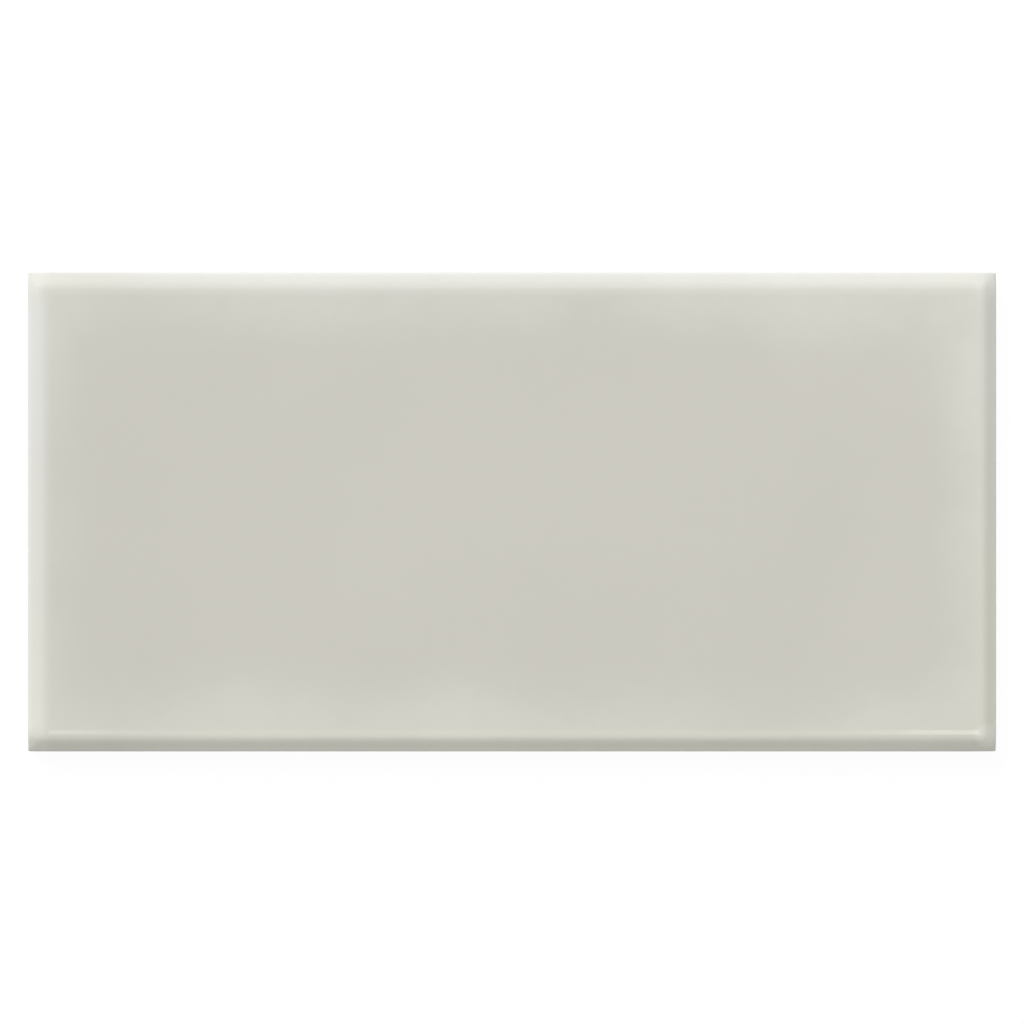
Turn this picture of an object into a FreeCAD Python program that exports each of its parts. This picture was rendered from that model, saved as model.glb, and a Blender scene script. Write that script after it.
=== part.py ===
import FreeCAD
import Part
import math
import os

# Subway wall tile: one ceramic biscuit, dry-pressed and fired in one piece, with a glazed cushion-edged face.
# It lies face up. The origin is the middle of the back, +X runs along the length and +Z points out of the face.
# Sizes are in millimetres.

# Overall size: 6 x 3 in, each less one 1/16 in grout joint
tile_length = 150.8
tile_width = 74.6
tile_thickness = 7.9

# Face: nearly flat, rising by a hair from the cushion edge to the level middle
crown_rise = 0.12
crown_run = 6.0
crown_radius = 280.0

# Cushion edge: it leaves the face at a soft shoulder, falls gently, then turns down to the arris over the side.
# An inset is measured in from the side, and a drop down from the shoulder.
shoulder_inset = 2.5
shoulder_radius = 1.3
cushion_inset = 1.75
cushion_drop = 0.19
cushion_radius = 2.05
arris_drop = 1.39
arris_radius = 0.6

# Side and corners
corner_radius = 0.15
heel_bevel = 0.7

# Back: shallow drafted pockets between ribs, which key into the bedding mortar
rim_width = 5.2
rib_width = 2.2
key_pitch = 13.0
key_depth = 0.6
key_draft_degrees = 30.0
key_corner_radius = 1.6

# How much of a run of the section one fillet may take, so that neighbours never meet
fillet_share = 0.48
# How far a cutter or a prism runs past the faces that it cuts
overshoot = 1.0


def rounded_path(corners, radii):
    """A closed wire through the corners, each rounded by a tangent arc of its radius, or left sharp at 0."""
    count = len(corners)
    starts, ends, middles = [], [], []
    for i, corner in enumerate(corners):
        before = corners[i - 1] - corner
        after = corners[(i + 1) % count] - corner
        turn = math.pi - before.getAngle(after)
        room = fillet_share * min(before.Length, after.Length)
        reach = min(radii[i] * math.tan(turn / 2), room)
        before.normalize()
        after.normalize()
        starts.append(corner + before * reach)
        ends.append(corner + after * reach)
        radius = reach / math.tan(turn / 2)
        to_middle = radius / math.cos(turn / 2) - radius
        inward = before + after
        inward.normalize()
        middles.append(corner + inward * to_middle)
    edges = []
    for i in range(count):
        if radii[i] > 0:
            edges.append(Part.Arc(starts[i], middles[i], ends[i]).toShape())
        edges.append(Part.LineSegment(ends[i], starts[(i + 1) % count]).toShape())
    return Part.Wire(edges)


def section(span, across):
    """The tile's closed section over a span, as a face in the plane of the direction across and +Z."""
    half = span / 2
    shoulder_height = tile_thickness - crown_rise
    one_side = [
        (half - heel_bevel, 0, 0),
        (half, heel_bevel, 0),
        (half, shoulder_height - arris_drop, arris_radius),
        (half - cushion_inset, shoulder_height - cushion_drop, cushion_radius),
        (half - shoulder_inset, shoulder_height, shoulder_radius),
        (half - shoulder_inset - crown_run, tile_thickness, crown_radius),
    ]
    other_side = [(-out, up, radius) for out, up, radius in reversed(one_side)]
    outline = one_side + other_side
    up_axis = FreeCAD.Vector(0, 0, 1)
    corners = [across * out + up_axis * up for out, up, radius in outline]
    wire = rounded_path(corners, [radius for out, up, radius in outline])
    return Part.Face(wire)


def prism(span, length, along, across):
    """The section over a span, drawn out along the tile and a little past both of its ends."""
    reach = length + 2 * overshoot
    face = section(span, across)
    face.translate(along * (-reach / 2))
    return face.extrude(along * reach)


def rounded_rectangle(length, width, radius, height):
    """A rectangle with rounded corners round the middle of the tile, as a wire at a height."""
    x, y = length / 2, width / 2
    corners = [FreeCAD.Vector(*at, height) for at in ((x, y), (-x, y), (-x, -y), (x, -y))]
    return rounded_path(corners, [radius] * 4)


def biscuit():
    """The pressed tile before its back is keyed: both sections together, so that the edges mitre at the corners."""
    x_axis = FreeCAD.Vector(1, 0, 0)
    y_axis = FreeCAD.Vector(0, 1, 0)
    lengthwise = prism(tile_width, tile_length, x_axis, y_axis)
    crosswise = prism(tile_length, tile_width, y_axis, x_axis)
    outline = Part.Face(rounded_rectangle(tile_length, tile_width, corner_radius, -overshoot))
    corners = outline.extrude(FreeCAD.Vector(0, 0, tile_thickness + 2 * overshoot))
    return lengthwise.common(crosswise).common(corners)


def key_row(span):
    """How many pockets fit over a span and their pitch, with a rim at both ends and ribs between them."""
    field = span - 2 * rim_width + rib_width
    count = max(1, round(field / key_pitch))
    return count, field / count


def key_pocket(length, width):
    """One pocket as a solid: its mouth on the back, drafted walls and a flat floor inside the tile."""
    draft = math.tan(math.radians(key_draft_degrees))
    mouth_x, mouth_y = length / 2 + overshoot * draft, width / 2 + overshoot * draft
    floor_x, floor_y = length / 2 - key_depth * draft, width / 2 - key_depth * draft
    rough = Part.makeWedge(
        -mouth_x, -overshoot, -mouth_y, -floor_y, -floor_x, mouth_x, key_depth, mouth_y, floor_y, floor_x
    )
    rough.rotate(FreeCAD.Vector(0, 0, 0), FreeCAD.Vector(1, 0, 0), 90)
    corners = [edge for edge in rough.Edges if edge.BoundBox.ZLength > key_depth]
    return rough.makeFillet(key_corner_radius, corners)


def key_pockets():
    """All the pockets of the back, in rows and columns."""
    columns, column_pitch = key_row(tile_length)
    rows, row_pitch = key_row(tile_width)
    pocket = key_pocket(column_pitch - rib_width, row_pitch - rib_width)
    pockets = []
    for column in range(columns):
        for row in range(rows):
            x = (column - (columns - 1) / 2) * column_pitch
            y = (row - (rows - 1) / 2) * row_pitch
            pockets.append(pocket.translated(FreeCAD.Vector(x, y, 0)))
    return pockets


def tile():
    """The whole tile as one solid."""
    return biscuit().cut(key_pockets())


os.makedirs("parts", exist_ok=True)
shape = tile()
shape.exportStep("parts/tile.step")
print("tile", len(shape.Solids), "solid", "valid", shape.isValid(), "volume", round(shape.Volume, 1))
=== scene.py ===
"""A glazed subway wall tile, lying face up on a pale studio floor and seen from straight above.

The tile is one piece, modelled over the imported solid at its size: a pressed biscuit with a keyed back,
drafted pockets, a bevelled heel and square sides, and over it a glaze that is softly crowned, rolls over
a cushion edge and stops in an uneven line part of the way down the sides. Lengths are in metres.
"""

import math

import bmesh
import bpy
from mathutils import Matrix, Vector, noise


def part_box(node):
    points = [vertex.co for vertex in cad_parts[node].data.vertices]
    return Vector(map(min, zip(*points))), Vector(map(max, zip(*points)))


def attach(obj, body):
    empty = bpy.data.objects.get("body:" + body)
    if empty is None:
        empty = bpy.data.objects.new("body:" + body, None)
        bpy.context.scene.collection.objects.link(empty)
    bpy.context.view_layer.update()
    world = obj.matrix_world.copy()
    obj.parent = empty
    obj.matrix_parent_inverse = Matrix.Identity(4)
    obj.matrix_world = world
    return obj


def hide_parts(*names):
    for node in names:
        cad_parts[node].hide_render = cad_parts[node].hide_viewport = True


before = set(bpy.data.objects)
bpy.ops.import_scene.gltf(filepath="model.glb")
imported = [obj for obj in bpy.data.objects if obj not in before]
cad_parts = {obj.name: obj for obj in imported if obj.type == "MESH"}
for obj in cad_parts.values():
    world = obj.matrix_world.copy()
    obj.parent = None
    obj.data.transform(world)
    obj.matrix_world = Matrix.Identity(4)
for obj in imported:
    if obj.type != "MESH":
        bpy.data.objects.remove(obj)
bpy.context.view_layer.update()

MM = 0.001
TILE_LOW, TILE_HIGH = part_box("tile")
LENGTH, WIDTH, THICKNESS = TILE_HIGH - TILE_LOW
HALF_SPANS = (LENGTH / 2, WIDTH / 2)

# The glazed surface: a level middle, and bends that each add a slope from an inset on, softened over a
# length. The crown is far gentler than the solid's. The shoulder and the cushion bend where the solid's do,
# and the cushion falls slightly more steeply. The brow is a slight bend of the glaze before the shoulder.
CROWN_INSET = 8.5 * MM
CROWN_SLOPE = 0.004
CROWN_SOFTNESS = 1.1 * MM
BROW_INSET = 3.43 * MM
BROW_SLOPE = 0.05
BROW_SOFTNESS = 0.08 * MM
SLOPE_PAST_SHOULDER = 0.253
SHOULDER_INSET = 2.5 * MM
SHOULDER_SLOPE = SLOPE_PAST_SHOULDER - CROWN_SLOPE - BROW_SLOPE
SHOULDER_SOFTNESS = 0.15 * MM
SLOPE_PAST_CUSHION = 0.71
CUSHION_INSET = 1.75 * MM
CUSHION_SLOPE = SLOPE_PAST_CUSHION - SLOPE_PAST_SHOULDER
CUSHION_SOFTNESS = 0.2 * MM
# A bend is straight again this many softnesses past its inset
BEND_ENDS = 30

# The sides: a rounded arris above and a bevelled heel below. A reach is how far from a corner its
# rounding starts.
ARRIS_REACH = 0.32 * MM
HEEL_BEVEL = 0.7 * MM
HEEL_REACH = 0.16 * MM

# Plan corners are sharp at the sides. The shoulder and the cushion turn round them about a centre this far
# in from both sides, and the brows of two sides cross there. The crown is eased where its insets from the
# two sides differ by less than its turn. The rims of the mesh are rounded more and more inward.
CUSHION_CENTRE = 2.8 * MM
CROWN_TURN = 7.0 * MM
CORNER_RADIUS = 0.15 * MM
RIM_ROUNDING = 0.3

# The keyed back
RIM_WIDTH = 5.2 * MM
RIB_WIDTH = 2.2 * MM
KEY_PITCH = 13.0 * MM
KEY_DEPTH = 0.6 * MM
KEY_DRAFT_DEGREES = 30
KEY_DRAFT_RUN = KEY_DEPTH * math.tan(math.radians(KEY_DRAFT_DEGREES))
KEY_CORNER_RADIUS = 1.6 * MM
KEY_EDGE_SOFTNESS = 0.14 * MM
KEY_BEND_DEGREES = 40

# How finely the glazed surface and the sides are divided, and into how many steps their roundings are
FACE_CELL = 1.25 * MM
SIDE_CELL = 0.3 * MM
CUSHION_CELL = 0.12 * MM
CELL_GROWTH = 0.35
INNERMOST_INSET = 12.0 * MM
CORNER_STEPS = 8
HEEL_STEPS = 3
ARRIS_STEPS = 6
KEY_EDGE_STEPS = 2
FLAT_WEIGHT = 50

# The glaze's lower edge on the sides. Its drips are noise read in a layer of their own, cut off at a start.
GLAZE_STOPS_BELOW = 1.5 * MM
GLAZE_LINE_WANDER = 0.7 * MM
GLAZE_LINE_SCALE = 11 * MM
GLAZE_DRIP = 2.6 * MM
GLAZE_DRIP_SCALE = 5 * MM
GLAZE_DRIP_LAYER = 50 * MM
GLAZE_DRIP_START = 0.22
BARE_STEP = 0.10 * MM
BARE_STEP_HEIGHT = 0.35 * MM
BARE_TURN = 1.2 * MM

# Unevenness of the fired surface
FACE_WAVE = 0.030 * MM
FACE_WAVE_SCALE = 34 * MM
FACE_SETTLES = 0.55 * FACE_WAVE
FACE_RIPPLE = 0.006 * MM
FACE_RIPPLE_SCALE = 9 * MM
BISCUIT_WANDER = 0.035 * MM
BISCUIT_WANDER_SCALE = 2.2 * MM

COINCIDENT = 0.00025 * MM

# Glaze colours, linear with alpha. A pair runs from one side of the tile to the other. The pairs, the
# places where the edge is more or less pale and the spots at the corners hold some of the light and shade
# that falls on the tile in the photograph.
# Each thick and thin pair runs from painted shade at one end of the tile to painted light at the other
THICK_GLAZE_SHADED_TO_LIT = (0.5635, 0.5542, 0.4955, 1), (0.5895, 0.5798, 0.525, 1)
THIN_GLAZE_SHADED_TO_LIT = (0.6235, 0.6245, 0.557, 1), (0.6505, 0.6515, 0.583, 1)
# Painted light at the right-hand corners, over the thin glaze
RIGHT_CORNERS_LIT_GLAZE = (0.683, 0.684, 0.613, 1)
POOLED_GLAZE = (0.553, 0.545, 0.480, 1)
# The pale edge colour, warm where shade is painted and cooler where light is painted
EDGE_GLAZE_SHADED_TO_LIT = (0.706, 0.709, 0.612, 1), (0.705, 0.709, 0.715, 1)
# A painted highlight at the right-hand corners, and painted shade at the near left one
PAINTED_HIGHLIGHT_GLAZE = (0.80, 0.80, 0.725, 1)
PAINTED_SHADE_GLAZE = (0.50, 0.50, 0.445, 1)

# The glaze thins from the level face to the outline with a wander, over a narrower band at the ends
OUTLINE_SOFTNESS = 1.5 * MM
THINNING_SOFTNESS = 12.0 * MM
THINNING_AT_ENDS = 1.3
THINNING_WANDER = 8.0 * MM
THINNING_SPAN = (3.0 * MM, 15.0 * MM)
# The turns and spans of the painted shade and light in the glaze's colour
THICK_TURN = (0.8, 0.6)
THIN_TURN = 0.5
TINT_SPAN = (-75 * MM, 75 * MM)
RIGHT_CORNERS_LIT_SPAN = (70 * MM, 110 * MM)
DRIFT_SIZE = 30 * MM
MOTTLE_SIZE = 2.4 * MM
POOLED_BY_DRIFT = 1.4
POOLED_BY_MOTTLE = 0.3
POOLED_AT_LEAST = 0.3

# How pale each band of the edge is, and between which insets it fades. The paleness of the cushion and the
# shoulder is partly glaze thinning over the bend and partly a painted sheen.
PALE_CUSHION = 0.26
PALE_CUSHION_SPAN = (2.4 * MM, 4.2 * MM)
PALE_SHOULDER = 0.1
PALE_SHOULDER_OUTER = (1.8 * MM, 2.2 * MM)
PALE_SHOULDER_INNER = (2.4 * MM, 2.8 * MM)
PALE_ARRIS = 0.7
PALE_ARRIS_SPAN = (-0.6 * MM, 1.2 * MM)

# Painted shade and light in the edge's paleness: less pale towards the ends of the near side and at the far
# left, paler at both ends.
# Below the arris a share of the paleness is left, and it falls to that between two depths.
NEAR_ENDS_LESS = 0.9
NEAR_SIDE_SPAN = (33 * MM, 36.5 * MM)
NEAR_ENDS_SPAN = (45 * MM, 75 * MM)
FAR_LEFT_LESS = 0.7
FAR_SIDE_SPAN = (30 * MM, 36 * MM)
FAR_LEFT_SPAN = (50 * MM, 75 * MM)
PALE_ENDS = 0.12
PALE_ENDS_SPAN = (71 * MM, 73.5 * MM)
PALE_ON_SIDES = 0.35
SIDES_FADE_BELOW = (0.7 * MM, 0.1 * MM)
# The edge's colour turns from painted warm shade at the near right to painted cooler light at the far left
EDGE_TURN = (-0.35, 1.2)
EDGE_TINT_SPAN = (-50 * MM, 50 * MM)

# A painted highlight at each right-hand corner, and painted shade at the near left one
PAINTED_HIGHLIGHT_PLACE = (73.8 * MM, 34.8 * MM)
PAINTED_HIGHLIGHT_RADIUS = 2.28 * MM
PAINTED_HIGHLIGHT_NEAR = 0.62
PAINTED_HIGHLIGHT_FAR_LESS = 0.4
PAINTED_HIGHLIGHT_SPAN = (-20 * MM, 20 * MM)
# Painted shade at the near left corner
PAINTED_SHADE_PLACE = (-74.6 * MM, -36.4 * MM)
PAINTED_SHADE_RADIUS = 1.9 * MM
PAINTED_SHADE_STRENGTH = 0.4

# The glaze's gloss and relief. Relief is in millimetres.
GLAZE_IOR = 1.5
GLAZE_ROUGHNESS = 0.05
GLAZE_ROUGHNESS_MOTTLE = 0.03
PEEL_SIZE = 3.2 * MM
PEEL_RELIEF = 0.010
MOTTLE_RELIEF = 0.0012

# The biscuit's colours, gloss and relief
CREAM_CLAY = (0.700, 0.625, 0.505, 1)
WARM_CLAY = (0.610, 0.520, 0.400, 1)
SPECK_CLAY = (0.330, 0.250, 0.170, 1)
STAINED_CLAY = (0.64, 0.61, 0.53, 1)
CLOUD_SIZE = 18 * MM
CLOUD_SPAN = (0.35, 0.7)
CLOUD_STRENGTH = 0.6
GRAIN_SIZE = 0.5 * MM
GRAIN_STRENGTH = 0.5
FLECK_SIZE = 1.1 * MM
FLECK_SPAN = (0.70, 0.76)
FLECK_STRENGTH = 0.6
CLAY_ROUGHNESS = 0.82
CLAY_ROUGHNESS_GRAIN = 0.12
GRAIN_RELIEF = 0.05
FLECK_RELIEF = 0.03

# The glaze's lower edge in the finish, by how far above it a point lies, in millimetres
RAGGED_SIZE = 0.7 * MM
RAGGED_EDGE = 0.35
COATED_SPAN = (-0.04, 0.05)
RAGGED_STAIN = 1.6
STAIN_SPAN = (-1.6, -0.1)
STAIN_STRENGTH = 0.5

# The studio
WHITE = (1, 1, 1, 1)
FLOOR_REACH = 3.0
FLOOR_GAP = 0.02 * MM
FLOOR_COLOUR = (0.80, 0.80, 0.80, 1)
FLOOR_GLOW = 1.03
FLOOR_GLOW_SHARE = 0.93
EVEN_LIGHT = 0.30
WARM_LIGHT = (1.0, 0.91, 0.82)
LENS = 200.0
SENSOR_WIDTH = 36.0
PHOTO_PIXELS = 1024
TILE_PIXELS = 968.6


def smooth_step(value, low, high):
    """0 up to low, 1 from high on, and an even curve between."""
    t = min(max((value - low) / (high - low), 0.0), 1.0)
    return t * t * (3 - 2 * t)


def key_row(span):
    """How many pockets fit over a span of the back, and their pitch."""
    field = span - 2 * RIM_WIDTH + RIB_WIDTH
    count = max(1, round(field / KEY_PITCH))
    return count, field / count


def round_off(mesh, parts, affect, reach, steps):
    """Rounds edges or points of a mesh, so that the round starts at a reach from each of them."""
    bmesh.ops.bevel(
        mesh,
        geom=parts,
        offset=reach,
        offset_type="OFFSET",
        segments=steps,
        profile=0.5,
        affect=affect,
        clamp_overlap=False,
        material=-1,
    )


def piece_from(name, mesh):
    """A finished mesh as an object of the scene."""
    data = bpy.data.meshes.new(name)
    mesh.to_mesh(data)
    mesh.free()
    piece = bpy.data.objects.new(name, data)
    bpy.context.scene.collection.objects.link(piece)
    return piece


def stands_up(edge):
    """Whether an edge of the keyed back rises from a pocket's mouth to its floor."""
    return abs(edge.verts[0].co.z - edge.verts[1].co.z) > KEY_DEPTH / 2


def is_bend(edge):
    """Whether an edge of the keyed back is a bend between two faces."""
    return not edge.is_boundary and edge.calc_face_angle() > math.radians(KEY_BEND_DEGREES)


def press_keyed_back():
    """The back's field of drafted pockets between ribs, facing down."""
    mesh = bmesh.new()
    columns, column_pitch = key_row(LENGTH)
    rows, row_pitch = key_row(WIDTH)
    bmesh.ops.create_grid(mesh, x_segments=columns, y_segments=rows, size=0.5)
    bmesh.ops.scale(mesh, vec=(columns * column_pitch, rows * row_pitch, 1), verts=mesh.verts)
    bmesh.ops.reverse_faces(mesh, faces=mesh.faces)
    cells = mesh.faces[:]
    bmesh.ops.inset_individual(mesh, faces=cells, thickness=RIB_WIDTH / 2, use_even_offset=True)
    bmesh.ops.inset_individual(
        mesh, faces=cells, thickness=KEY_DRAFT_RUN, depth=-KEY_DEPTH, use_even_offset=True
    )
    wall_corners = [edge for edge in mesh.edges if stands_up(edge)]
    round_off(mesh, wall_corners, "EDGES", KEY_CORNER_RADIUS, CORNER_STEPS)
    bends = [edge for edge in mesh.edges if is_bend(edge)]
    round_off(mesh, bends, "EDGES", KEY_EDGE_SOFTNESS, KEY_EDGE_STEPS)
    return mesh


def soft_ramp(value, softness):
    """0 well below 0 and the value itself well above it, with a soft bend between."""
    if value > softness * BEND_ENDS:
        return value
    return softness * math.log1p(math.exp(value / softness))


def surface_height(crown_inset, brow_insets, cushion_inset):
    """The height of the glazed surface, from how far in a point lies for each of its bends.

    The brow takes a list of insets, because its slopes from two sides add up near a plan corner.
    """
    return (
        THICKNESS
        - CROWN_SLOPE * soft_ramp(CROWN_INSET - crown_inset, CROWN_SOFTNESS)
        - BROW_SLOPE * sum(soft_ramp(BROW_INSET - inset, BROW_SOFTNESS) for inset in brow_insets)
        - SHOULDER_SLOPE * soft_ramp(SHOULDER_INSET - cushion_inset, SHOULDER_SOFTNESS)
        - CUSHION_SLOPE * soft_ramp(CUSHION_INSET - cushion_inset, CUSHION_SOFTNESS)
    )


def corner_height(insets):
    """The height of the glazed surface at insets from the two nearest sides.

    The shoulder and the cushion turn smoothly about the plan corner, and the crown is eased there.
    """
    nearest = min(insets)
    eased = max(1 - abs(insets[0] - insets[1]) / CROWN_TURN, 0)
    turned = nearest
    if max(insets) < CUSHION_CENTRE:
        turned = CUSHION_CENTRE - math.hypot(*(CUSHION_CENTRE - inset for inset in insets))
    return surface_height(nearest - eased * eased * CROWN_TURN / 4, insets, turned)


def side_height(inset):
    """The height of the glazed surface at an inset from a side, away from the plan corners."""
    return surface_height(inset, [inset], inset)


SIDE_TOP = side_height(0)


def rim_radius(inset):
    """The radius of the plan corners of a rim of the mesh, at an inset from the outline."""
    return CORNER_RADIUS + inset * RIM_ROUNDING


def rounded_corner(before, corner, after, reach, steps):
    """Points round a softened corner of the section."""
    first = corner + (before - corner).normalized() * reach
    last = corner + (after - corner).normalized() * reach
    shares = [step / steps for step in range(steps + 1)]
    return [first.lerp(corner, share).lerp(corner.lerp(last, share), share) for share in shares]


def rounded_section():
    """The section from the back round the heel, up the side, over the arris and in across the glaze.

    It is a list of (inset from the outline, height) pairs, no further apart than the cells of the surface.
    """
    on_slope = Vector((ARRIS_REACH, side_height(ARRIS_REACH)))
    heel, foot, arris = Vector((HEEL_BEVEL, 0)), Vector((0, HEEL_BEVEL)), Vector((0, SIDE_TOP))
    start = Vector((HEEL_BEVEL * 2, 0))
    bends = [
        start,
        *rounded_corner(start, heel, foot, HEEL_REACH, HEEL_STEPS),
        *rounded_corner(heel, foot, arris, HEEL_REACH, HEEL_STEPS),
        *rounded_corner(foot, arris, on_slope, ARRIS_REACH, ARRIS_STEPS),
    ]
    section = [start]
    for first, last in zip(bends, bends[1:]):
        pieces = math.ceil((last - first).length / SIDE_CELL)
        section += [first.lerp(last, piece / pieces) for piece in range(1, pieces + 1)]
    inset = section[-1].x
    while inset < INNERMOST_INSET - FACE_CELL / 2:
        past_brow = max(inset - BROW_INSET - CUSHION_CELL, 0)
        inset += min(CUSHION_CELL + past_brow * CELL_GROWTH, FACE_CELL)
        section.append(Vector((inset, side_height(inset))))
    return section


def insets_of(point):
    """How far in from the two nearest sides a point lies."""
    return [half - abs(along) for half, along in zip(HALF_SPANS, point)]


def move_to_outline(verts, old_inset, inset, height):
    """Moves points of one rounded rectangle to their places on another, at another inset from the outline.

    Near the plan corners the surface and the tops of the sides settle to where the bends turn smoothly.
    """
    old_radius, radius = rim_radius(old_inset), rim_radius(inset)
    settling = smooth_step(height, HEEL_BEVEL, SIDE_TOP - ARRIS_REACH)
    for vert in verts:
        for axis, half in enumerate(HALF_SPANS):
            old_core = half - old_inset - old_radius
            core = half - inset - radius
            along = min(max(vert.co[axis], -old_core), old_core)
            vert.co[axis] = along / old_core * core + (vert.co[axis] - along) / old_radius * radius
        vert.co.z = height + settling * (corner_height(insets_of(vert.co)) - side_height(inset))


def heel_outline(mesh, inset):
    """A rounded rectangle of edges on the back, at an inset from the outline. Returns its edges."""
    radius = rim_radius(inset)
    bmesh.ops.create_grid(mesh, x_segments=1, y_segments=1, size=0.5)
    bmesh.ops.scale(mesh, vec=(LENGTH - 2 * inset, WIDTH - 2 * inset, 1), verts=mesh.verts)
    round_off(mesh, mesh.verts[:], "VERTICES", radius, CORNER_STEPS)
    for edge in mesh.edges[:]:
        length = edge.calc_length()
        if length > radius * 2:
            bmesh.ops.subdivide_edges(mesh, edges=[edge], cuts=round(length / FACE_CELL) - 1)
    bmesh.ops.delete(mesh, geom=mesh.faces[:], context="FACES_ONLY")
    return mesh.edges[:]


def raise_body():
    """The tile's skin from its heel over its sides and cushion edge to the crowned face, open at the back."""
    mesh = bmesh.new()
    section = rounded_section()
    rim = heel_outline(mesh, section[0].x)
    back_rim = list(rim)
    for old, new in zip(section, section[1:]):
        made = bmesh.ops.extrude_edge_only(mesh, edges=rim)["geom"]
        verts = [item for item in made if isinstance(item, bmesh.types.BMVert)]
        moved = set(verts)
        edges = [item for item in made if isinstance(item, bmesh.types.BMEdge)]
        rim = [edge for edge in edges if moved.issuperset(edge.verts)]
        move_to_outline(verts, old.x, new.x, new.y)
    return mesh, back_rim, rim


def close_face(mesh, rim):
    """Fills the level middle of the face inside its rim, in rows from one long side to the other."""
    long_sides = []
    for edge in rim:
        in_x, in_y = insets_of((edge.verts[0].co + edge.verts[1].co) / 2)
        if in_y < in_x:
            long_sides.append(edge)
    filled = bmesh.ops.grid_fill(mesh, edges=long_sides)["faces"]
    for vert in {vert for face in filled for vert in face.verts}:
        vert.co.z = corner_height(insets_of(vert.co))


def close_back(mesh, rim):
    """Joins the keyed back to the skin and fills the level border between its pockets and the heel."""
    known = set(mesh.edges)
    pressed = press_keyed_back()
    data = bpy.data.meshes.new("keyed_back")
    pressed.to_mesh(data)
    pressed.free()
    mesh.from_mesh(data)
    bpy.data.meshes.remove(data)
    field = [edge for edge in mesh.edges if edge not in known and edge.is_boundary]
    bmesh.ops.triangle_fill(mesh, edges=rim + field, use_beauty=True)


def glaze_line(point):
    """The height at which the glaze stops on the side, near a point."""
    wander = noise.noise(Vector((point.x, point.y, 0)) / GLAZE_LINE_SCALE)
    hang = noise.noise(Vector((point.y, point.x, GLAZE_DRIP_LAYER)) / GLAZE_DRIP_SCALE)
    drip = max(0.0, hang - GLAZE_DRIP_START)
    return SIDE_TOP - GLAZE_STOPS_BELOW + wander * GLAZE_LINE_WANDER - drip * GLAZE_DRIP


def face_wave(point, inset):
    """How far firing lifts a point of the face: long waves and ripples, fading out to the outline."""
    wave = noise.noise(point / FACE_WAVE_SCALE) * FACE_WAVE
    ripple = noise.noise(point / FACE_RIPPLE_SCALE) * FACE_RIPPLE
    return (wave + ripple - FACE_SETTLES) * smooth_step(inset, 0.0, CROWN_INSET)


def bare_setback(point):
    """How far the bare biscuit lies inside the glazed side near a point, as a vector."""
    bare = smooth_step(glaze_line(point) - point.z, 0.0, BARE_STEP_HEIGHT)
    above_heel = smooth_step(point.z, 0.0, HEEL_BEVEL)
    rough = (noise.noise(point / BISCUIT_WANDER_SCALE) - 1) / 2 * BISCUIT_WANDER
    core = [min(max(along, BARE_TURN - half), half - BARE_TURN) for along, half in zip(point, HALF_SPANS)]
    inward = (Vector((*core, point.z)) - point).normalized()
    return inward * (BARE_STEP - rough) * bare * above_heel


def fire(mesh):
    """Moves the surface as firing does: waves on the face, a step under the glaze, uneven biscuit below."""
    for vert in mesh.verts:
        point = vert.co.copy()
        inset = min(insets_of(point))
        if point.z > SIDE_TOP:
            vert.co.z += face_wave(point, inset)
        elif inset < HEEL_BEVEL:
            vert.co += bare_setback(point)


def tile_piece():
    """The tile as one closed mesh. Its points carry how far above the glaze's lower edge they lie, in mm."""
    mesh, back_rim, face_rim = raise_body()
    close_face(mesh, face_rim)
    close_back(mesh, back_rim)
    bmesh.ops.remove_doubles(mesh, verts=mesh.verts, dist=COINCIDENT)
    fire(mesh)
    bmesh.ops.recalc_face_normals(mesh, faces=mesh.faces)
    coating = mesh.verts.layers.float.new("glaze_reach")
    for vert in mesh.verts:
        vert[coating] = (vert.co.z - glaze_line(vert.co)) / MM
    for face in mesh.faces:
        face.smooth = True
    piece = piece_from("glazed_tile", mesh)
    level = piece.modifiers.new("level_flats", "WEIGHTED_NORMAL")
    level.weight = FLAT_WEIGHT
    return piece


class Value:
    """The output of a node, on which arithmetic adds Math nodes."""

    def __init__(self, nodes, socket):
        self.nodes = nodes
        self.socket = socket

    def math(self, operation, *others, clamp=False):
        settings = {"operation": operation, "use_clamp": clamp}
        return self.nodes.add("ShaderNodeMath", settings, dict(enumerate((self, *others))))

    def __add__(self, other):
        return self.math("ADD", other)

    def __radd__(self, other):
        return self.math("ADD", other)

    def __sub__(self, other):
        return self.math("SUBTRACT", other)

    def __rsub__(self, other):
        return (self * -1) + other

    def __mul__(self, other):
        return self.math("MULTIPLY", other)

    def __rmul__(self, other):
        return self.math("MULTIPLY", other)

    def __pow__(self, other):
        return self.math("POWER", other)

    def clamped(self):
        return self.math("ADD", 0.0, clamp=True)

    def absolute(self):
        return self.math("ABSOLUTE")

    def ramp(self, low, high):
        """0 up to low, 1 from high on, and an even curve between."""
        span = {"Value": self, "From Min": low, "From Max": high}
        return self.nodes.add("ShaderNodeMapRange", {"interpolation_type": "SMOOTHSTEP"}, span)


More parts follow.
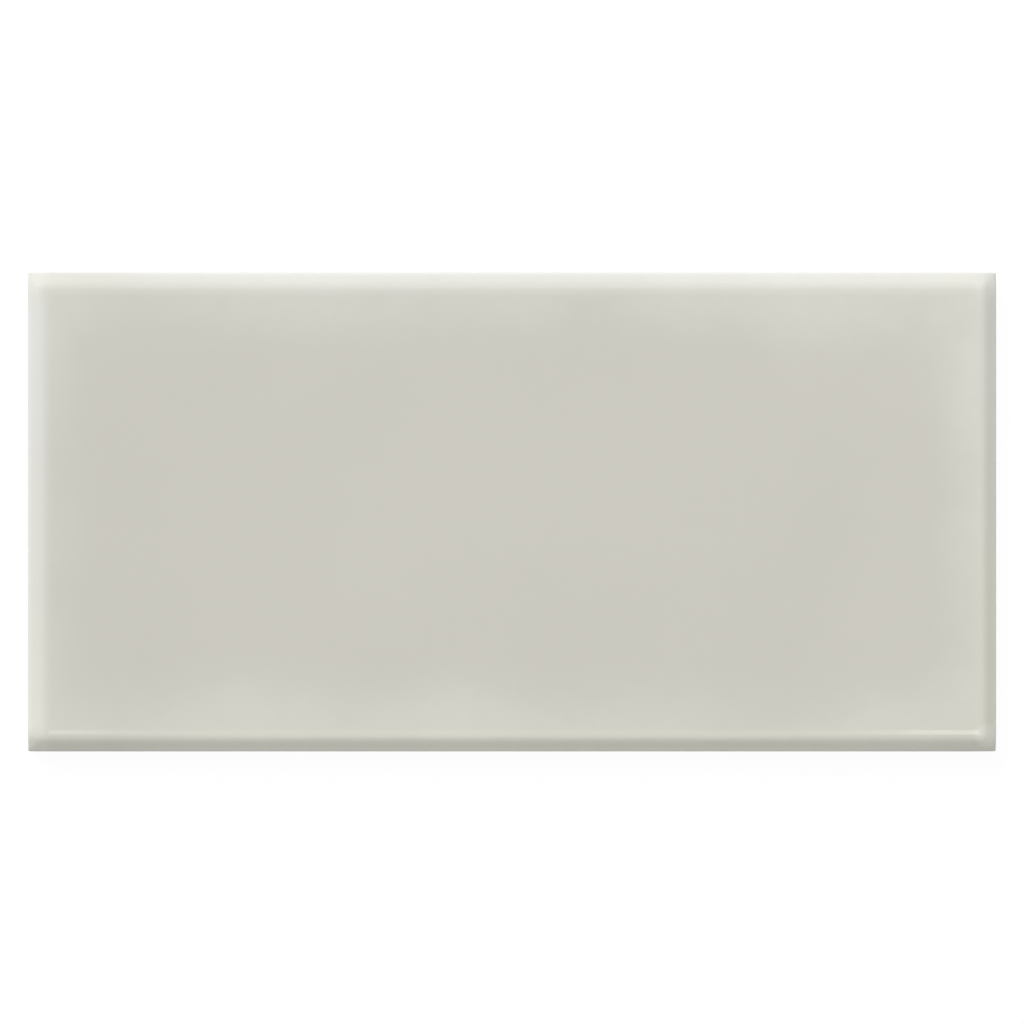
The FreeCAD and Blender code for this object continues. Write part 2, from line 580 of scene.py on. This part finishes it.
class Nodes:
    """The nodes of one material or world."""

    # The colour sockets of a Mix node go by number, because their names repeat
    FIRST_COLOUR = 6
    SECOND_COLOUR = 7
    MIXED_COLOUR = 2

    def __init__(self, owner):
        owner.use_nodes = True
        self.tree = owner.node_tree
        self.tree.nodes.clear()

    def add(self, kind, settings=None, inputs=None, output=0):
        """A node, its settings made first and then its sockets set or linked. Returns one of its outputs."""
        node = self.tree.nodes.new(kind)
        for name, setting in (settings or {}).items():
            setattr(node, name, setting)
        for name, value in (inputs or {}).items():
            if isinstance(value, Value):
                self.tree.links.new(value.socket, node.inputs[name])
            else:
                node.inputs[name].default_value = value
        return Value(self, node.outputs[output]) if node.outputs else None

    def noise(self, place, size, detail=2.0, roughness=0.5):
        """Fractal noise about 0.5, whose features are about a size across."""
        settings = {"Vector": place, "Scale": 1 / size, "Detail": detail, "Roughness": roughness}
        return self.add("ShaderNodeTexNoise", None, settings)

    def mix(self, factor, first, second):
        """A colour between two colours, or links to them."""
        colours = {"Factor": factor, self.FIRST_COLOUR: first, self.SECOND_COLOUR: second}
        return self.add("ShaderNodeMix", {"data_type": "RGBA"}, colours, output=self.MIXED_COLOUR)

    def mix_shader(self, factor, first, second):
        return self.add("ShaderNodeMixShader", None, {0: factor, 1: first, 2: second})


def place_on_tile(nodes, place):
    """How far along and across the tile from its middle each point lies, and how far up from its back."""
    split = nodes.add("ShaderNodeSeparateXYZ", None, {"Vector": place})
    return [Value(nodes, split.socket.node.outputs[axis]) for axis in "XYZ"]


def outline_inset(along, across, softness, end_share=1.0):
    """How far in from the tile's outline each point lies, with the corners softened over a length.

    The way in from the two ends is counted for more by an end share over 1.
    """
    in_x = (LENGTH / 2 - along.absolute()) * end_share
    in_y = WIDTH / 2 - across.absolute()
    return in_x.math("SMOOTH_MIN", in_y, softness)


def spot(along, across, middle, radius):
    """1 at a place on the tile, and 0 from a radius round it on."""
    away = (along - middle[0]) ** 2 + (across - middle[1]) ** 2
    return 1 - away.ramp(0, radius ** 2)


def glaze_body(nodes, along, across, drift, mottle):
    """The glaze's colour before its edge: a greige, paler where it thins and darker in its clouds, with
    painted shade towards the near left and the left and painted light towards the right.
    """
    # The pairs lean from painted shade at the near left and the left to painted light at the right
    turned = along * THICK_TURN[0] + across * THICK_TURN[1]
    thick = nodes.mix(turned.ramp(*TINT_SPAN), *THICK_GLAZE_SHADED_TO_LIT)
    off_middle = across.absolute()
    thin = nodes.mix((along + off_middle * THIN_TURN).ramp(*TINT_SPAN), *THIN_GLAZE_SHADED_TO_LIT)
    # Painted light at the right-hand corners
    thin = nodes.mix((along + off_middle).ramp(*RIGHT_CORNERS_LIT_SPAN), thin, RIGHT_CORNERS_LIT_GLAZE)
    inward = outline_inset(along, across, THINNING_SOFTNESS, THINNING_AT_ENDS)
    depth = (inward + (drift - 0.5) * THINNING_WANDER).ramp(*THINNING_SPAN)
    pooled = (drift - 0.5) * POOLED_BY_DRIFT + (mottle - 0.5) * POOLED_BY_MOTTLE + POOLED_AT_LEAST
    return nodes.mix(pooled.clamped(), nodes.mix(depth, thin, thick), POOLED_GLAZE)


def glaze_paleness(along, across, up):
    """How much of the edge's own colour shows: on the cushion, the shoulder and most of all the arris. Over
    the cushion and the shoulder it is partly a painted sheen, with painted shade towards the ends of the near
    side and at the far left and painted light at both ends.
    """
    inset = outline_inset(along, across, OUTLINE_SOFTNESS)
    off_middle_along = along.absolute()
    # The cushion and shoulder paleness is partly glaze thinning and partly a painted sheen
    over_cushion = 1 - inset.ramp(*PALE_CUSHION_SPAN)
    over_shoulder = inset.ramp(*PALE_SHOULDER_OUTER) - inset.ramp(*PALE_SHOULDER_INNER)
    over_arris = 1 - inset.ramp(*PALE_ARRIS_SPAN)
    pale = over_cushion * PALE_CUSHION + over_shoulder * PALE_SHOULDER + over_arris * PALE_ARRIS
    # Painted shade towards the ends of the near side and at the far left, and painted light at both ends
    near_ends = (across * -1).ramp(*NEAR_SIDE_SPAN) * off_middle_along.ramp(*NEAR_ENDS_SPAN)
    far_left = across.ramp(*FAR_SIDE_SPAN) * (along * -1).ramp(*FAR_LEFT_SPAN)
    pale = pale * (1 - near_ends * NEAR_ENDS_LESS) * (1 - far_left * FAR_LEFT_LESS)
    pale = pale + over_cushion * off_middle_along.ramp(*PALE_ENDS_SPAN) * PALE_ENDS
    top_of_side = up.ramp(*(SIDE_TOP - below for below in SIDES_FADE_BELOW))
    return (pale * (top_of_side * (1 - PALE_ON_SIDES) + PALE_ON_SIDES)).clamped()


def glaze_corners(nodes, along, across, tint):
    """The glaze's colour with a painted highlight at each right-hand corner and painted shade at the near
    left one.
    """
    # A painted highlight at each right-hand corner
    painted_highlight = spot(along, across.absolute(), PAINTED_HIGHLIGHT_PLACE, PAINTED_HIGHLIGHT_RADIUS)
    painted_highlight = painted_highlight * (PAINTED_HIGHLIGHT_NEAR - across.ramp(*PAINTED_HIGHLIGHT_SPAN) * PAINTED_HIGHLIGHT_FAR_LESS)
    # Painted shade at the near left corner
    painted_shade = spot(along, across, PAINTED_SHADE_PLACE, PAINTED_SHADE_RADIUS) * PAINTED_SHADE_STRENGTH
    return nodes.mix(painted_shade, nodes.mix(painted_highlight, tint, PAINTED_HIGHLIGHT_GLAZE), PAINTED_SHADE_GLAZE)


def glaze_finish(nodes, place):
    """Colour, roughness and relief of the glaze: a glossy greige, paler where it runs thin at the edges, with
    painted light, shade and sheen on it.
    """
    along, across, up = place_on_tile(nodes, place)
    drift = nodes.noise(place, DRIFT_SIZE, detail=3.0)
    mottle = nodes.noise(place, MOTTLE_SIZE, detail=4.0, roughness=0.6)
    peel = nodes.noise(place, PEEL_SIZE)
    body = glaze_body(nodes, along, across, drift, mottle)
    # The edge's colour runs from painted warm shade at the near right to painted cooler light at the far left
    turned = along * EDGE_TURN[0] + across * EDGE_TURN[1]
    edge = nodes.mix(turned.ramp(*EDGE_TINT_SPAN), *EDGE_GLAZE_SHADED_TO_LIT)
    tint = nodes.mix(glaze_paleness(along, across, up), body, edge)
    rough = mottle * GLAZE_ROUGHNESS_MOTTLE + GLAZE_ROUGHNESS
    return glaze_corners(nodes, along, across, tint), rough, peel * PEEL_RELIEF + mottle * MOTTLE_RELIEF


def biscuit_finish(nodes, place):
    """Colour, roughness and relief of the fired clay: a pale, matt, finely grained cream."""
    clouds = nodes.noise(place, CLOUD_SIZE, detail=4.0)
    grain = nodes.noise(place, GRAIN_SIZE, detail=6.0, roughness=0.7)
    fleck = nodes.noise(place, FLECK_SIZE, detail=1.0)
    warmth = clouds.ramp(*CLOUD_SPAN) * CLOUD_STRENGTH + (grain - 0.5) * GRAIN_STRENGTH
    body = nodes.mix(warmth.clamped(), CREAM_CLAY, WARM_CLAY)
    body = nodes.mix(fleck.ramp(*FLECK_SPAN) * FLECK_STRENGTH, body, SPECK_CLAY)
    return body, grain * CLAY_ROUGHNESS_GRAIN + CLAY_ROUGHNESS, grain * GRAIN_RELIEF + fleck * FLECK_RELIEF


def tile_material():
    """The glaze where the tile is coated and bare biscuit where it isn't, on one surface."""
    material = bpy.data.materials.new("glazed_biscuit")
    nodes = Nodes(material)
    place = nodes.add("ShaderNodeTexCoord", None, None, output="Object")
    reach = nodes.add("ShaderNodeAttribute", {"attribute_name": "glaze_reach"}, None, output="Fac")
    ragged = nodes.noise(place, RAGGED_SIZE, detail=3.0) - 0.5
    coated = (reach + ragged * RAGGED_EDGE).ramp(*COATED_SPAN)
    stained = (reach + ragged * RAGGED_STAIN).ramp(*STAIN_SPAN)
    glaze_colour, glaze_rough, glaze_relief = glaze_finish(nodes, place)
    clay_colour, clay_rough, clay_relief = biscuit_finish(nodes, place)
    clay_colour = nodes.mix(stained * STAIN_STRENGTH, clay_colour, STAINED_CLAY)
    relief = coated * glaze_relief + (1 - coated) * clay_relief
    finish = {
        "Base Color": nodes.mix(coated, clay_colour, glaze_colour),
        "Roughness": coated * glaze_rough + (1 - coated) * clay_rough,
        "IOR": GLAZE_IOR,
        "Normal": nodes.add("ShaderNodeBump", None, {"Strength": 1.0, "Distance": MM, "Height": relief}),
    }
    surface = nodes.add("ShaderNodeBsdfPrincipled", None, finish)
    nodes.add("ShaderNodeOutputMaterial", None, {"Surface": surface})
    return material


def seen_directly(nodes):
    """1 for rays from the camera, a mirror or a lens, and 0 for those that carry light."""
    path = nodes.add("ShaderNodeLightPath")
    names = ("Is Camera Ray", "Is Glossy Ray", "Is Transmission Ray")
    camera, glossy, through = (Value(nodes, path.socket.node.outputs[name]) for name in names)
    return (camera + glossy + through).clamped()


def floor_material():
    """Near-white where it is seen, with a pale share of the light on it, which keeps the tile's shadow."""
    material = bpy.data.materials.new("studio_floor")
    nodes = Nodes(material)
    matt = nodes.add("ShaderNodeBsdfDiffuse", None, {"Color": FLOOR_COLOUR})
    white = nodes.add("ShaderNodeEmission", None, {"Color": WHITE, "Strength": FLOOR_GLOW})
    shown = nodes.mix_shader(seen_directly(nodes) * FLOOR_GLOW_SHARE, matt, white)
    geometry = nodes.add("ShaderNodeNewGeometry", None, None, output="Backfacing")
    clear = nodes.add("ShaderNodeBsdfTransparent")
    nodes.add("ShaderNodeOutputMaterial", None, {"Surface": nodes.mix_shader(geometry, shown, clear)})
    return material


def studio_floor():
    """A large level floor round the tile, which shows from above only and is open under the tile."""
    mesh = bmesh.new()
    bmesh.ops.create_grid(mesh, x_segments=3, y_segments=3, size=FLOOR_REACH)
    middle = min(mesh.faces, key=lambda face: face.calc_center_median().length)
    for vert in middle.verts:
        for axis, half in enumerate(HALF_SPANS):
            vert.co[axis] = math.copysign(half - HEEL_BEVEL, vert.co[axis])
    bmesh.ops.delete(mesh, geom=[middle], context="FACES_ONLY")
    bmesh.ops.translate(mesh, vec=(0, 0, TILE_LOW.z - FLOOR_GAP), verts=mesh.verts)
    floor = piece_from("studio_floor", mesh)
    floor.data.materials.append(floor_material())


def studio_world():
    """Even light from all round, white where it is seen."""
    world = bpy.data.worlds.new("studio")
    bpy.context.scene.world = world
    nodes = Nodes(world)
    even = nodes.add("ShaderNodeBackground", None, {"Color": WHITE, "Strength": EVEN_LIGHT})
    white = nodes.add("ShaderNodeBackground", None, {"Color": WHITE, "Strength": 1.0})
    nodes.add("ShaderNodeOutputWorld", None, {"Surface": nodes.mix_shader(seen_directly(nodes), even, white)})


def soft_lamp(name, place, size, watts, aim):
    """A soft lamp that points at a place and isn't itself seen by the camera."""
    data = bpy.data.lights.new(name, "AREA")
    data.shape = "RECTANGLE"
    data.size, data.size_y = size
    data.energy = watts
    lamp = bpy.data.objects.new(name, data)
    bpy.context.scene.collection.objects.link(lamp)
    lamp.location = place
    lamp.rotation_euler = (Vector(aim) - Vector(place)).to_track_quat("-Z", "Y").to_euler()
    lamp.visible_camera = False
    return lamp


def broad_lamp(name, place, size, watts):
    """A lamp aimed at the tile's middle, which the glaze doesn't mirror."""
    lamp = soft_lamp(name, place, size, watts, (0, 0, 0))
    lamp.visible_glossy = False


def glint_lamp(name, place, size, watts):
    """A small warm lamp that shines straight down, and that the glaze mirrors."""
    lamp = soft_lamp(name, place, size, watts, (place[0], place[1], 0))
    lamp.data.color = WARM_LIGHT


def studio_light():
    """A large soft key from the upper left of the picture, three weak fills and four small glint lamps.

    The key and the fills aren't mirrored, because the key would draw a hard line along the far shoulder.
    The glints draw the thin bright line along the near shoulder.
    """
    broad_lamp("key", place=(-1.83, 3.288, 3.9), size=(4.4, 4.4), watts=314.0)
    broad_lamp("under", place=(-0.6, 0.9, -1.6), size=(1.2, 1.2), watts=30.0)
    broad_lamp("low_left", place=(-1.9, 1.9, 0.5), size=(1.0, 0.6), watts=10.0)
    broad_lamp("low_right", place=(1.9, -1.9, 0.5), size=(1.0, 0.6), watts=8.0)
    glint_lamp("near_right", place=(0.307, -0.28, 1.5), size=(0.286, 0.20), watts=0.54)
    glint_lamp("near_left", place=(-0.2155, -0.27, 1.5), size=(0.089, 0.18), watts=0.095)
    glint_lamp("near_middle", place=(-0.004, -0.30, 1.5), size=(0.336, 0.24), watts=0.19)
    glint_lamp("near_low", place=(-0.01, -0.70, 1.5), size=(0.26, 0.40), watts=0.24)


def studio_camera():
    """A long lens looking straight down, so that the tile spans the width that it has in the photograph."""
    data = bpy.data.cameras.new("camera")
    data.lens = LENS
    data.sensor_width = SENSOR_WIDTH
    camera = bpy.data.objects.new("camera", data)
    bpy.context.scene.collection.objects.link(camera)
    view_width = LENGTH * PHOTO_PIXELS / TILE_PIXELS
    camera.location = (0, 0, SIDE_TOP + view_width * data.lens / data.sensor_width)
    bpy.context.scene.camera = camera


tile = tile_piece()
tile.data.materials.append(tile_material())
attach(tile, "root")
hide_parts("tile")

studio_floor()
studio_world()
studio_light()
studio_camera()
bpy.context.scene.view_settings.view_transform = "Standard"
